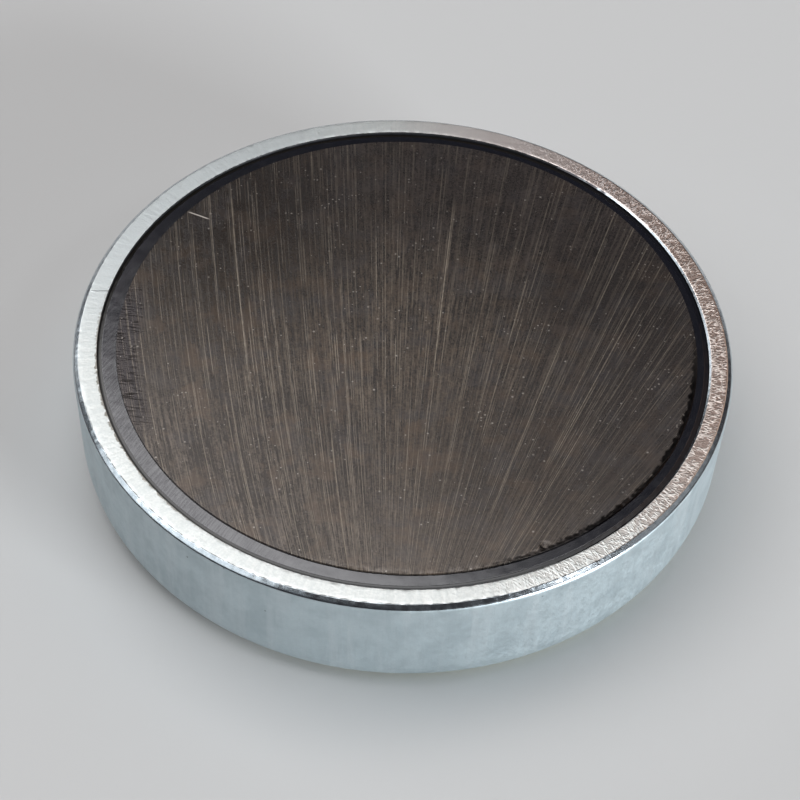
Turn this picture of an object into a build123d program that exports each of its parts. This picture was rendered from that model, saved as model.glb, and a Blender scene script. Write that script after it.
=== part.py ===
from build123d import *
import math
import os

# Flat ferrite pot magnet: a drawn steel pot, a ferrite disc standing on its floor, and a
# plastic spacer ring that fills the room between the disc and the wall.
# Millimetres. The origin is the centre of the flat base and +Z points out of the holding face.

# Pot, a drawn cup whose wall is thickest at the lip
pot_diameter = 50.0  # outside, at the foot of the lip chamfer
pot_height = 10.0
lip_wall = 1.85  # wall at the lip, from the bore to the outside
wall_draft = 2.7  # degrees that the outside leans in towards the base
floor_thickness = 2.0
base_corner_radius = 2.75  # outside, between wall and base
bore_corner_radius = 0.6  # inside, between bore and floor
lip_chamfer_width = 0.4  # across the lip
lip_chamfer_drop = 0.3  # down the wall
bore_bevel = 0.08  # broken edge at the mouth of the bore

# Spacer ring, a close fit on the disc and centred with glue in the bore
ring_width = 0.83  # mean
ring_side_gap = 0.32  # to the bore, all round
ring_recess = 0.15  # top of the ring below the lip
ring_foot_clearance = 0.05  # its foot is cut back this much more than the bore's corner needs
ring_eccentricity = 0.31  # its inside, and the disc in it, lie this much off its outside
ring_thin_side = 30.0  # degrees from +X, where its wall is thinnest

# Ferrite disc, ground flush with the lip
disc_top_edge = 0.05  # worn edge of the ground face
disc_foot_edge = 0.3  # pressed edge of the unground face

# Sizes that follow
pot_radius = pot_diameter / 2
bore_radius = pot_radius - lip_wall
chamfer_foot_height = pot_height - lip_chamfer_drop
base_edge_radius = pot_radius - chamfer_foot_height * math.tan(math.radians(wall_draft))
ring_outer_radius = bore_radius - ring_side_gap
ring_top = pot_height - ring_recess
ring_foot_chamfer = max(bore_corner_radius - ring_side_gap, 0) + ring_foot_clearance
disc_radius = ring_outer_radius - ring_width
disc_thickness = pot_height - floor_thickness
ring_seat = Location((0, 0, floor_thickness))
pocket_in_ring = Location(Vector(ring_eccentricity, 0, 0).rotate(Axis.Z, ring_thin_side))


def corner_at(sketch, radius, height):
    """The sketch's corner at a radius and a height, for a fillet or a chamfer."""
    return sketch.vertices().sort_by_distance(Plane.XZ.from_local_coords((radius, height)))[0]


def steel_pot():
    """The cup, turned from its half section."""
    section = Plane.XZ * make_face(
        Polyline(
            (0, 0),
            (base_edge_radius, 0),
            (pot_radius, chamfer_foot_height),
            (pot_radius - lip_chamfer_width, pot_height),
            (bore_radius + bore_bevel, pot_height),
            (bore_radius, pot_height - bore_bevel),
            (bore_radius, floor_thickness),
            (0, floor_thickness),
            close=True,
        )
    )
    section = fillet(corner_at(section, base_edge_radius, 0), base_corner_radius)
    section = fillet(corner_at(section, bore_radius, floor_thickness), bore_corner_radius)
    return revolve(section, Axis.Z)


def rims(solid):
    """A round solid's circular edges, from the lowest up."""
    return solid.edges().filter_by(GeomType.CIRCLE).sort_by(Axis.Z)


def upright(radius, height):
    """A cylinder that stands on the XY plane."""
    return Cylinder(radius, height, align=(Align.CENTER, Align.CENTER, Align.MIN))


def ferrite_disc():
    """The magnet, standing on the XY plane."""
    disc = upright(disc_radius, disc_thickness)
    disc = chamfer(rims(disc)[-1], disc_top_edge)
    return chamfer(rims(disc)[0], disc_foot_edge)


def spacer_ring():
    """The ring, with its foot chamfered to clear the corner of the bore."""
    plug = upright(ring_outer_radius, ring_top - floor_thickness)
    plug = chamfer(rims(plug)[0], ring_foot_chamfer)
    return plug - pocket_in_ring * upright(disc_radius, disc_thickness)


nodes = {
    "steel_pot": steel_pot(),
    "ferrite_disc": ring_seat * pocket_in_ring * ferrite_disc(),
    "spacer_ring": ring_seat * spacer_ring(),
}

os.makedirs("parts", exist_ok=True)
for name, solid in nodes.items():
    export_step(solid, f"parts/{name}.step")
    print(name, "volume", round(solid.volume, 1), "mm3, valid", solid.is_valid)
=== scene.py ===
"""Looks of a flat ferrite pot magnet: a drawn steel pot, a ground ferrite disc and its spacer ring.

Lengths in the dataclass fields are millimetres, angles are degrees, and meshes are built in
metres. An azimuth is counted from +X towards +Y, as seen from above the holding face.
"""

import inspect
import logging
import math
from dataclasses import dataclass
from enum import Enum, IntEnum
from typing import Callable, ClassVar, Sequence, Union

import bmesh
import bpy
from mathutils import Matrix, Vector


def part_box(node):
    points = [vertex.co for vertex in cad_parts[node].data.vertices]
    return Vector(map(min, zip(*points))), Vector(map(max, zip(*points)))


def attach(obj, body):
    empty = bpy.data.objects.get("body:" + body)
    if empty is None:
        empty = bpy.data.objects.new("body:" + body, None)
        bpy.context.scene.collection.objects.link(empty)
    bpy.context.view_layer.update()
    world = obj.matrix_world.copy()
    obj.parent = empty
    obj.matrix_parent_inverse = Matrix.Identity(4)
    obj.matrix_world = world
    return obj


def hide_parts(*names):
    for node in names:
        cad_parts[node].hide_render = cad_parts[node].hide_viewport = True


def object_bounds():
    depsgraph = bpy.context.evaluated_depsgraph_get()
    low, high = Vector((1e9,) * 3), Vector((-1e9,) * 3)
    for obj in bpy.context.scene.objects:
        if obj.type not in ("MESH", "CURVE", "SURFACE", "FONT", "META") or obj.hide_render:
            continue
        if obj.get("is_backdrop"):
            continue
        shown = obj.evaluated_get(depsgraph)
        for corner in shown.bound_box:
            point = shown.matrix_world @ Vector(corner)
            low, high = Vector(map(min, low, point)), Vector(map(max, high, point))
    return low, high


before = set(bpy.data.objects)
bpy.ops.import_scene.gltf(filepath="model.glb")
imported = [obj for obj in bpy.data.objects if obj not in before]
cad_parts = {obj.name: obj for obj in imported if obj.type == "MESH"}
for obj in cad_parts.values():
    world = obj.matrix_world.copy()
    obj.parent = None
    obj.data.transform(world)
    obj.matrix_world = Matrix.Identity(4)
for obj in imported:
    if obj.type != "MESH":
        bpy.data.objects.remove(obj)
cad_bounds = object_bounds()

log = logging.getLogger("pot_magnet")

MM = 0.001
BODY = "root"
SHY = 0.0005  # how far the outermost faces stay inside the frame's box, in millimetres
FACETS = 1440  # sides of each piece's circles
HUB = 4.0  # radius of the innermost ring of a solid piece, in millimetres
ORIGIN = (0.0, 0.0, 0.0)
FLAT = (1.0, 1.0, 0.0)  # leaves out the height of a place
AXIS = Vector(ORIGIN)  # a point on the pot's axis
MIX_INPUTS = (0, 6, 7)  # the mix node's share and its two colours
MIX_COLOUR = 2  # its mixed colour

Socket = bpy.types.NodeSocket
Feed = Union["Wire", float, int, bool, tuple]
Feeds = dict[Union[str, int], Feed]
Colour = tuple[float, float, float]
Spot = tuple[float, float]  # a place on the holding face
Side = tuple[float, float, float]  # azimuth, half width and softness of a side of a round piece
Station = tuple[float, ...]  # radius and height of a ring and, where it is off the axis, how far
Weight = Callable[[float, float, float], float]  # of a radius, an azimuth and a height


class Slot(Enum):
    """The finishes that the record names."""

    PLATED_STEEL = "plated_steel"
    FERRITE = "ferrite"
    SPACER_PLASTIC = "spacer_plastic"


class Port(Enum):
    """The kinds of socket that a shared effect can have."""

    VALUE = "NodeSocketFloat"
    VECTOR = "NodeSocketVector"


class Push(Enum):
    """The ways in which wear is pressed into a piece."""

    INWARDS = "NORMAL"
    DOWN = "Z"


class PotFinish(IntEnum):
    """The finishes of the pot, by their material index."""

    DRAWN = 0
    FACED = 1
    ROLLED = 2
    BORE = 3


# --------------------------------------------------------------------------------------------
# Node trees
# --------------------------------------------------------------------------------------------


class Wire:
    """What comes out of a node, with arithmetic that lays more nodes on the same bench."""

    def __init__(self, bench: "Bench", socket: Socket) -> None:
        """Hold an output."""
        self.bench = bench
        self.socket = socket

    def math(self, operation: str, *others: Feed) -> "Wire":
        """Work out a number from this one and up to two others."""
        feeds = dict(enumerate((self, *others)))
        return self.bench.wire("ShaderNodeMath", feeds, operation=operation)

    def __add__(self, other: Feed) -> "Wire":
        """Add a number."""
        return self.math("ADD", other)

    def __sub__(self, other: Feed) -> "Wire":
        """Take a number away."""
        return self.math("SUBTRACT", other)

    def __rsub__(self, other: Feed) -> "Wire":
        """Take this away from a number."""
        return self.bench.wire("ShaderNodeMath", {0: other, 1: self}, operation="SUBTRACT")

    def __mul__(self, other: Feed) -> "Wire":
        """Multiply by a number."""
        return self.math("MULTIPLY", other)

    def __truediv__(self, other: Feed) -> "Wire":
        """Divide by a number."""
        return self.math("DIVIDE", other)

    def vector(
        self, operation: str, *others: Feed, output: Union[int, str] = 0, **named: Feed
    ) -> "Wire":
        """Work out a vector, or a number, from this vector.

        Args:
            operation: What to do.
            others: Other vectors that it takes.
            output: Which of the node's outputs to take.
            named: Inputs that are fed by name.

        Returns:
            The vector or the number.
        """
        feeds = {**dict(enumerate((self, *others))), **named}
        return self.bench.wire("ShaderNodeVectorMath", feeds, output, operation=operation)

    def length(self) -> "Wire":
        """Measure a vector."""
        return self.vector("LENGTH", output="Value")

    def split(self) -> list["Wire"]:
        """Take a vector apart."""
        parts = self.bench.node("ShaderNodeSeparateXYZ", {0: self}).outputs
        return [Wire(self.bench, part) for part in parts]

    def turned_back(self, heading: Feed) -> "Wire":
        """Turn a place clockwise by a heading."""
        feeds = {"Vector": self, "Angle": (heading * -1.0).math("RADIANS")}
        return self.bench.wire("ShaderNodeVectorRotate", feeds, rotation_type="Z_AXIS")

    def span(self, low: Feed, high: Feed, to_low: Feed = 0.0, to_high: Feed = 1.0) -> "Wire":
        """Carry a range of numbers smoothly on to another, and hold it at both ends.

        Args:
            low: Where the range begins. It may lie above its end.
            high: Where it ends.
            to_low: Where its beginning goes.
            to_high: Where its end goes.

        Returns:
            The number.
        """
        ends = ("Value", "From Min", "From Max", "To Min", "To Max")
        feeds = dict(zip(ends, (self, low, high, to_low, to_high)))
        return self.bench.wire("ShaderNodeMapRange", feeds, interpolation_type="SMOOTHSTEP")

    def band(self, low: float, high: float, soft: float) -> "Wire":
        """Mask the numbers between two limits, with soft ends."""
        return self.span(low - soft, low + soft) * self.span(high + soft, high - soft)

    def noise(self, pitch: float, detail: Feed = 2.0, rough: float = 0.5) -> "Wire":
        """Read a cloudy noise at this place, whose lumps are about a pitch apart."""
        feeds = {"Vector": self, "Scale": 1.0 / pitch, "Detail": detail, "Roughness": rough}
        return self.bench.wire("ShaderNodeTexNoise", feeds, "Fac")


class Bench:
    """Lays nodes out in one tree and wires them as they are laid."""

    COLUMN = 190.0
    ROW = 170.0
    ROWS = 7

    def __init__(self, tree: bpy.types.NodeTree) -> None:
        """Take an empty tree to work in."""
        self.tree = tree
        self.laid = 0

    def node(self, kind: str, feeds: Feeds, **options: object) -> bpy.types.Node:
        """Lay one node at the next free place.

        Args:
            kind: The node's type name.
            feeds: What goes into its inputs: a wire is linked and a value is set.
            options: The node's own settings.

        Returns:
            The new node.
        """
        made = self.tree.nodes.new(kind)
        column, row = divmod(self.laid, self.ROWS)
        made.location = (self.COLUMN * column, -self.ROW * row)
        self.laid += 1
        for name, value in options.items():
            setattr(made, name, value)
        for key, feed in feeds.items():
            self.feed(made.inputs[key], feed)
        return made

    def wire(self, kind: str, feeds: Feeds, output: Union[int, str] = 0, **options: object) -> Wire:
        """Lay one node and take one of its outputs."""
        return Wire(self, self.node(kind, feeds, **options).outputs[output])

    def feed(self, socket: Socket, feed: Feed) -> None:
        """Link a wire to an input, or set the input to a value.

        Args:
            socket: The input.
            feed: The wire or the value.
        """
        if isinstance(feed, Wire):
            self.tree.links.new(feed.socket, socket)
        elif socket.type == "RGBA":
            socket.default_value = (*feed, 1.0)
        else:
            socket.default_value = feed

    def join(self, x: Feed, y: Feed, z: Feed = 0.0) -> Wire:
        """Make a vector from its parts."""
        return self.wire("ShaderNodeCombineXYZ", {"X": x, "Y": y, "Z": z})

    def dice(self, x: Feed, y: Feed, output: str) -> Wire:
        """Throw dice that fall the same way each time for the same two numbers."""
        feeds = {"Vector": self.join(x, y)}
        return self.wire("ShaderNodeTexWhiteNoise", feeds, output, noise_dimensions="2D")

    def layers(self, base: Feed, *coats: tuple) -> Feed:
        """Lay colours over one another.

        Args:
            base: The lowest colour.
            coats: The others, each with its mask before it and, where it isn't simply mixed in,
                the way of mixing after it.

        Returns:
            The colour that shows.
        """
        for mask, colour, *kind in coats:
            way = kind[0] if kind else "MIX"
            feeds = dict(zip(MIX_INPUTS, (mask, base, colour)))
            base = self.wire("ShaderNodeMix", feeds, MIX_COLOUR, data_type="RGBA", blend_type=way)
        return base

    def reliefs(self, *cuts: tuple[Wire, float]) -> Wire:
        """Lay reliefs over one another.

        Args:
            cuts: Each relief's height, from 0 to 1, and its depth in millimetres.

        Returns:
            The normal.
        """
        over: Feeds = {}
        for height, depth in cuts:
            feeds = {"Strength": 1.0, "Distance": depth * MM, "Height": height, **over}
            over = {"Normal": self.wire("ShaderNodeBump", feeds)}
        return over["Normal"]


def shared(name: str, **gives: Port) -> Callable[[Callable], Callable]:
    """Make a shared effect, one node group, out of a method that draws it.

    Args:
        name: The group's name.
        gives: Its outputs, each with its kind.

    Returns:
        What turns the drawing method into one that places the group in a material.
    """

    def decorate(draw: Callable) -> Callable:
        """Take the drawing method, whose parameters become the group's inputs.

        Args:
            draw: The method. It works on a bench in the group's own tree.

        Returns:
            The placing method. Inputs that it isn't given keep their usual values.
        """
        usual = {key: value.default for key, value in inspect.signature(draw).parameters.items()}
        del usual["self"]

        def build() -> bpy.types.NodeTree:
            """Build the group.

            Returns:
                Its tree.
            """
            tree = bpy.data.node_groups.new(name, "ShaderNodeTree")
            add = tree.interface.new_socket
            for key, value in usual.items():
                kind = Port.VECTOR if isinstance(value, tuple) else Port.VALUE
                made = add(name=label(key), in_out="INPUT", socket_type=kind.value)
                made.default_value = value
            for key, kind in gives.items():
                add(name=key, in_out="OUTPUT", socket_type=kind.value)
            bench = Bench(tree)
            entry = bench.node("NodeGroupInput", {})
            drawn = draw(bench, *(Wire(bench, entry.outputs[label(key)]) for key in usual))
            bench.node("NodeGroupOutput", dict(zip(gives, drawn if len(gives) > 1 else (drawn,))))
            return tree

        def place(surface: "Surface", *values: Feed, **named: Feed) -> Union[Wire, list[Wire]]:
            """Place the group in a surface's material.

            Args:
                surface: The surface.
                values: What goes into its first inputs.
                named: What goes into others, by name.

            Returns:
                Its output, or a list of them.
            """
            given = {**dict(zip(usual, values)), **named}
            if "place" in usual:
                given["place"] = surface.place
            feeds = {label(key): feed for key, feed in given.items()}
            tree = bpy.data.node_groups.get(name) or build()
            made = surface.node("ShaderNodeGroup", feeds, node_tree=tree, label=name)
            wires = [Wire(surface, out) for out in made.outputs]
            return wires if len(wires) > 1 else wires[0]

        return place

    return decorate


def label(key: str) -> str:
    """Give the socket's name for a parameter."""
    return key.replace("_", " ").capitalize()


class Paint(Bench):
    """A material under way, with its one shader."""

    def __init__(self, name: str) -> None:
        """Start a material.

        Args:
            name: The finish's name.
        """
        self.material = bpy.data.materials.new(name)
        self.material.use_nodes = True
        self.material.node_tree.nodes.clear()
        super().__init__(self.material.node_tree)
        self.shader = self.node("ShaderNodeBsdfPrincipled", {})
        self.node("ShaderNodeOutputMaterial", {"Surface": Wire(self, self.shader.outputs[0])})

    def finish(self, feeds: Feeds) -> bpy.types.Material:
        """Feed the shader.

        Args:
            feeds: What goes into its inputs.

        Returns:
            The material.
        """
        for name, feed in feeds.items():
            self.feed(self.shader.inputs[name], feed)
        return self.material

    def finish_metal(
        self, colour: Feed, metallic: Feed, rough: Feed, normal: Wire
    ) -> bpy.types.Material:
        """Feed the shader of a metal.

        Args:
            colour: Its colour.
            metallic: How bare the metal is.
            rough: How rough it is.
            normal: Its normal.

        Returns:
            The material.
        """
        names = ("Base Color", "Metallic", "Roughness", "Normal")
        return self.finish(dict(zip(names, (colour, metallic, rough, normal))))


class Surface(Paint):
    """The material of a round piece, with the places on it and the shared effects at hand.

    Each effect is one node group with named sockets, in millimetres. It is drawn once, in the
    group's own tree, and placed in each material with its own values.
    """

    def __init__(self, name: str, centre: Spot = (0.0, 0.0)) -> None:
        """Start a material.

        Args:
            name: The finish's name.
            centre: Where the piece's axis is.
        """
        super().__init__(name)
        self.place, self.radius, self.height = self.on_axis((*centre, 0.0))

    def ragged(self, pitch: float, reach: float) -> Wire:
        """Give the radius, uneven by a reach either way, so that a line along it is ragged."""
        return self.radius + (self.place.noise(pitch, 3.0) - 0.5) * (2 * reach)

    @shared("Place on a round piece", Place=Port.VECTOR, Radius=Port.VALUE, Height=Port.VALUE)
    def on_axis(self, centre: Feed = ORIGIN) -> tuple[Wire, ...]:
        """Give object coordinates in millimetres from a round piece's own axis.

        Args:
            centre: Where the axis is.

        Returns:
            The place, and its radius and height.
        """
        own = self.wire("ShaderNodeTexCoord", {}, "Object")
        place = own.vector("SCALE", Scale=1.0 / MM).vector("SUBTRACT", centre)
        return place, place.vector("MULTIPLY", FLAT).length(), place.split()[2]

    @shared("Side of a round piece", Mask=Port.VALUE)
    def side(
        self,
        azimuth: Feed = 0.0,
        half_width: Feed = 45.0,
        softness: Feed = 15.0,
        place: Feed = ORIGIN,
    ) -> Wire:
        """Mask one side of a round piece.

        Args:
            azimuth: The middle of the side.
            half_width: How far it reaches either way.
            softness: How far its ends fade either way.
            place: The place on the piece.

        Returns:
            The mask.
        """
        x, y, _ = place.split()
        near = (y.math("ARCTAN2", x) - azimuth.math("RADIANS")).math("COSINE")
        outer = (half_width + softness).math("RADIANS").math("COSINE")
        inner = (half_width - softness).math("RADIANS").math("COSINE")
        return near.span(outer, inner)

    @shared("Slanted rays", Height=Port.VALUE)
    def rays(
        self,
        pitch: Feed = 0.3,
        length: Feed = 2.0,
        slant: Feed = 0.0,
        detail: Feed = 1.0,
        mid_radius: Feed = 24.0,
        place: Feed = ORIGIN,
    ) -> Wire:
        """Draw streaks that cross a round piece's radius, with no seam round the circle.

        Args:
            pitch: How far apart they are.
            length: How long they are.
            slant: How far they lean, where 1 is as far round as outwards.
            detail: How broken they are.
            mid_radius: Where the pitch is measured.
            place: The place on the piece.

        Returns:
            Their height.
        """
        x, y, z = place.split()
        radius = place.vector("MULTIPLY", FLAT).length()
        lean = (radius - mid_radius) * slant / mid_radius
        turned = y.math("ARCTAN2", x) + lean
        wide = mid_radius / pitch
        along = (radius - z) / length
        spot = self.join(turned.math("COSINE") * wide, turned.math("SINE") * wide, along)
        return spot.noise(1.0, detail, 0.6)

    @shared("Fanned grid", Across=Port.VALUE, Along=Port.VALUE)
    def fan(self, reach: Feed = 38.0, bend: Feed = 7.5, place: Feed = ORIGIN) -> tuple[Wire, ...]:
        """Draw a grid on a flat face whose lines fan out to the right and lean evenly on the left.

        Args:
            reach: How far in front of the face the lines would meet.
            bend: How far to the left they take to lean over.
            place: The place on the face.

        Returns:
            The ways across and along its lines.
        """
        x, y, _ = place.split()
        spread = reach / (y + reach)
        right = x.math("MAXIMUM", 0.0) * spread
        away = (x * -1.0).math("MAXIMUM", 0.0) / bend
        grown = away.math("EXPONENT") - 1.0
        left = grown.math("MULTIPLY_ADD", spread, 1.0).math("LOGARITHM", math.e)
        return right - left * bend, y

    @shared("Turned grid", Across=Port.VALUE, Along=Port.VALUE)
    def turned(self, heading: Feed = 0.0, place: Feed = ORIGIN) -> tuple[Wire, ...]:
        """Draw a grid on a flat face whose lines run straight at a heading."""
        along, across, _ = place.turned_back(heading).split()
        return across, along

    @shared("Streaks", Height=Port.VALUE)
    def streaks(
        self,
        across: Feed = 0.0,
        along: Feed = 0.0,
        pitch: Feed = 0.2,
        length: Feed = 3.0,
        layer: Feed = 0.0,
    ) -> Wire:
        """Draw soft streaks along a grid's lines."""
        return self.join(across / pitch, along / length, layer).noise(1.0, 2.0, 0.6)

    @shared("Scratches", Mask=Port.VALUE)
    def scratches(
        self,
        across: Feed = 0.0,
        along: Feed = 0.0,
        pitch: Feed = 0.5,
        width: Feed = 0.08,
        length: Feed = 8.0,
        share: Feed = 0.4,
    ) -> Wire:
        """Draw thin separate scratches along a grid's lines, each with its own place and depth.

        Args:
            across: The way across the lines.
            along: The way along them.
            pitch: The width of the lane that each scratch has to itself.
            width: How wide they are.
            length: How long they are at most.
            share: How much of the lanes they take up.

        Returns:
            The mask.
        """
        count = across / pitch
        lane = count.math("FLOOR")
        place, start, depth = self.dice(lane, pitch, "Color").split()
        off = count.math("FRACT") - place.math("MULTIPLY_ADD", 0.8, 0.1)
        line = (off.math("ABSOLUTE") * pitch).span(width * 0.5, width * 0.1)
        run = along / length + start * 37.0
        there = self.dice(lane, run.math("FLOOR"), "Value").math("LESS_THAN", share)
        through = run.math("FRACT")
        taper = through.math("MINIMUM", 1.0 - through).span(0.0, 0.2)
        skip = self.join(lane * 7.3, along / 0.5).noise(1.0, 1.0).span(0.3, 0.6, 0.55, 1.0)
        strength = depth.math("POWER", 2.5).math("MULTIPLY_ADD", 0.8, 0.2)
        return line * there * taper * skip * strength

    @shared("Specks", Mask=Port.VALUE)
    def specks(
        self, pitch: Feed = 0.6, size: Feed = 0.2, share: Feed = 0.3, place: Feed = ORIGIN
    ) -> Wire:
        """Scatter specks of uneven size.

        Args:
            pitch: How far apart the places for them are.
            size: How big they are, against the pitch.
            share: How many of the places have one.
            place: The place on the piece.

        Returns:
            The mask.
        """
        scaled = place.vector("DIVIDE", self.join(pitch, pitch, pitch))
        cells = self.node("ShaderNodeTexVoronoi", {"Vector": scaled, "Scale": 1.0}).outputs
        pick, amount, _ = Wire(self, cells["Color"]).split()
        reach = size * (amount + 0.3)
        dot = Wire(self, cells["Distance"]).span(reach, reach * 0.4)
        return dot * pick.math("LESS_THAN", share)

    @shared("Nick", Mask=Port.VALUE)
    def nick(
        self,
        middle: Feed = ORIGIN,
        heading: Feed = 0.0,
        length: Feed = 1.0,
        width: Feed = 0.1,
        place: Feed = ORIGIN,
    ) -> Wire:
        """Draw one straight scratch or nick with tapered ends.

        Args:
            middle: Its middle.
            heading: The way that it runs.
            length: How long it is.
            width: How wide it is.
            place: The place on the piece.

        Returns:
            The mask.
        """
        along, across, _ = place.vector("SUBTRACT", middle).turned_back(heading).split()
        reach = along.math("ABSOLUTE") / (length * 0.5)
        side = across.math("ABSOLUTE") / (width * 0.5)
        return reach.span(1.0, 0.6) * side.span(1.0, 0.3)


# --------------------------------------------------------------------------------------------
# Finishes
# --------------------------------------------------------------------------------------------


@dataclass(frozen=True)
class FacedLip:
    """Zinc plate over the faced lip of the pot, smooth to the left and coarse to the right."""

    silver: Colour = (0.67, 0.69, 0.68)
    grey: Colour = (0.60, 0.63, 0.625)
    # warm cream of the coarse plate on the right: partly real wear, partly a painted reflection of
    # the warm lamp
    worn: Colour = (0.75, 0.665, 0.62)
    film: Colour = (0.52, 0.56, 0.575)
    pits: Colour = (0.27, 0.205, 0.18)
    dull: Colour = (0.46, 0.415, 0.415)
    # painted shadow of the burr along the lip's outer edge
    seam: Colour = (0.05, 0.05, 0.055)
    stain: Colour = (0.20, 0.185, 0.16)
    coarse_side: Side = (358.0, 54.0, 30.0)
    worn_side: Side = (22.0, 52.0, 22.0)
    film_side: Side = (140.0, 30.0, 22.0)
    dull_side: Side = (60.0, 20.0, 20.0)
    seam_side: Side = (262.0, 66.0, 18.0)
    stain_side: Side = (204.0, 26.0, 14.0)
    roughness: float = 0.35
    ridge_depth: float = 0.02
    ridge_slants: tuple[float, float] = (0.15, -0.6)
    tick_depth: float = 0.006
    grain_depth: float = 0.006
    crack_depth: float = 0.03
    inner: float = 23.36
    outer: float = 24.56
    edge: float = 24.6
    stain_edge: float = 23.3
    crack: Spot = (-23.45, 4.03)
    crack_heading: float = 3.6

    def material(self) -> bpy.types.Material:
        """Make the finish.

        Returns:
            The material.
        """
        lip = Surface("zinc_faced_lip")
        worn = lip.side(*self.worn_side)
        cuts = [lip.rays(pitch=0.18, length=0.6, slant=slant) for slant in self.ridge_slants]
        ridges = cuts[0].math("MAXIMUM", cuts[1]).span(0.47, 0.66)
        worked = lip.radius.band(self.inner, self.outer, 0.06) * lip.side(*self.coarse_side)
        ragged = lip.place.noise(0.2, rough=0.7)
        ticks = lip.rays(pitch=0.3, length=2.2, detail=2.0)
        grain = lip.place.noise(0.16)
        crack = lip.nick((*self.crack, 0.0), self.crack_heading, length=1.5, width=0.13)
        hollow = (ridges * 0.5 + ragged).span(0.95, 0.55)
        stained = lip.ragged(0.35, 0.3).span(self.stain_edge + 0.06, self.stain_edge - 0.06)
        # painted shadow: a ragged dark line along the lip's outer edge, on the near side, where the
        # burr casts its shade
        seam = lip.ragged(0.5, 0.12).span(self.edge - 0.09, self.edge - 0.03)
        colour = lip.layers(
            self.silver,
            ((ticks * 0.5 + grain * 0.5).span(0.4, 0.6), self.grey),
            # right side: coarse worn plate, tinted warm cream and lightened as a painted reflection
            # of the warm lamp
            (worn * 0.9, self.worn),
            (lip.side(*self.dull_side) * 0.6, self.dull),
            (lip.side(*self.film_side) * 0.8, self.film),
            (hollow * worked * (worn * 0.48 + 0.46), self.pits),
            (stained * lip.side(*self.stain_side) * 0.9, self.stain),
            (seam * lip.side(*self.seam_side) * 0.9, self.seam),
        )
        normal = lip.reliefs(
            ((ridges + ragged) * worked, self.ridge_depth),
            (ticks, self.tick_depth),
            (grain, self.grain_depth),
            (crack, self.crack_depth),
        )
        rough = grain.span(0.3, 0.7, self.roughness - 0.03, self.roughness + 0.04)
        return lip.finish_metal(colour, 1.0, rough, normal)


@dataclass(frozen=True)
class RolledEdge:
    """Bright zinc plate over the rolled chamfer round the lip and the mouth of the bore, with
    painted shade darkening the mouth except on its bright right side.
    """

    silver: Colour = (0.64, 0.68, 0.71)
    cloud: Colour = (0.52, 0.57, 0.61)
    # painted shade on the mouth of the bore
    dull: Colour = (0.10, 0.095, 0.10)
    bright_side: Side = (2.0, 38.0, 16.0)
    dull_from: float = 24.0
    dull_to: float = 23.6
    roughness: float = 0.18
    streak_pitch: float = 0.06
    streak_length: float = 1.4
    streak_depth: float = 0.004
    mottle_depth: float = 0.006

    def material(self) -> bpy.types.Material:
        """Make the finish.

        Returns:
            The material.
        """
        edge = Surface("zinc_rolled_edge")
        streaks = edge.rays(pitch=self.streak_length, length=self.streak_pitch, detail=2.0)
        mottle = edge.place.noise(0.5, 3.0)
        # painted shade: the mouth of the bore is darkened in patches away from its bright side
        patchy = (edge.side(*self.bright_side) + edge.place.noise(0.6)).span(0.85, 0.55)
        colour = edge.layers(
            self.silver,
            (mottle.span(0.35, 0.65), self.cloud),
            (patchy * edge.radius.span(self.dull_from, self.dull_to), self.dull),
        )
        rough = mottle.span(0.3, 0.7, self.roughness, self.roughness + 0.08)
        normal = edge.reliefs((streaks, self.streak_depth), (mottle, self.mottle_depth))
        return edge.finish_metal(colour, 1.0, rough, normal)


@dataclass(frozen=True)
class DrawnZinc:
    """Satin zinc plate over the drawn outside of the pot, with orange peel where it stretched."""

    silver: Colour = (0.50, 0.575, 0.605)
    cloud: Colour = (0.43, 0.50, 0.53)
    bloom: Colour = (0.58, 0.635, 0.66)
    tarnish: Colour = (0.42, 0.44, 0.31)
    speck: Colour = (0.10, 0.11, 0.11)
    metallic: float = 0.8
    roughness: float = 0.48
    peel_pitch: float = 0.5
    peel_depth: float = 0.03
    draw_depth: float = 0.03
    grain_depth: float = 0.006
    corner_top: float = 3.6
    tarnish_top: float = 0.75

    def material(self) -> bpy.types.Material:
        """Make the finish.

        Returns:
            The material.
        """
        wall = Surface("zinc_drawn")
        stretched = wall.height.span(self.corner_top + 1.6, self.corner_top - 1.8)
        peel = wall.place.noise(self.peel_pitch, 3.0)
        draw = wall.rays(pitch=0.9, length=12.0, detail=3.0)
        grain = wall.place.noise(0.16)
        colour = wall.layers(
            self.silver,
            (wall.place.noise(3.2, 4.0, 0.6).span(0.4, 0.62), self.cloud),
            (draw.span(0.45, 0.7) * 0.5, self.bloom),
            (grain.span(0.4, 0.7) * 0.25, self.cloud),
            # painted reflection: a yellow-green band along the foot, where the base corner reflects
            # the floor
            (wall.height.band(0.0, self.tarnish_top, 0.3) * 0.75, self.tarnish),
            (wall.specks(pitch=1.5, size=0.08, share=0.2) * 0.85, self.speck),
        )
        peeled = peel * (stretched + 0.3)
        normal = wall.reliefs(
            (peeled, self.peel_depth), (draw, self.draw_depth), (grain, self.grain_depth)
        )
        rough = peel.span(0.3, 0.7, self.roughness - 0.05, self.roughness + 0.07)
        return wall.finish_metal(colour, self.metallic, rough, normal)


@dataclass(frozen=True)
class DullBore:
    """Steel inside the bore and on the far side of its mouth, painted near-black as shade, with
    darker glue smears.
    """

    # painted shade: near-black, far darker than the plated steel itself
    steel: Colour = (0.022, 0.022, 0.026)
    stain: Colour = (0.011, 0.011, 0.012)
    metallic: float = 0.4
    roughness: float = 0.6
    smear_depth: float = 0.02

    def material(self) -> bpy.types.Material:
        """Make the finish.

        Returns:
            The material.
        """
        bore = Surface("dull_bore")
        smears = bore.place.noise(1.2, 3.0)
        colour = bore.layers(self.steel, (smears.span(0.4, 0.6), self.stain))
        rough = smears.span(0.3, 0.7, self.roughness - 0.1, self.roughness + 0.1)
        normal = bore.reliefs((smears, self.smear_depth))
        return bore.finish_metal(colour, self.metallic, rough, normal)


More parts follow.
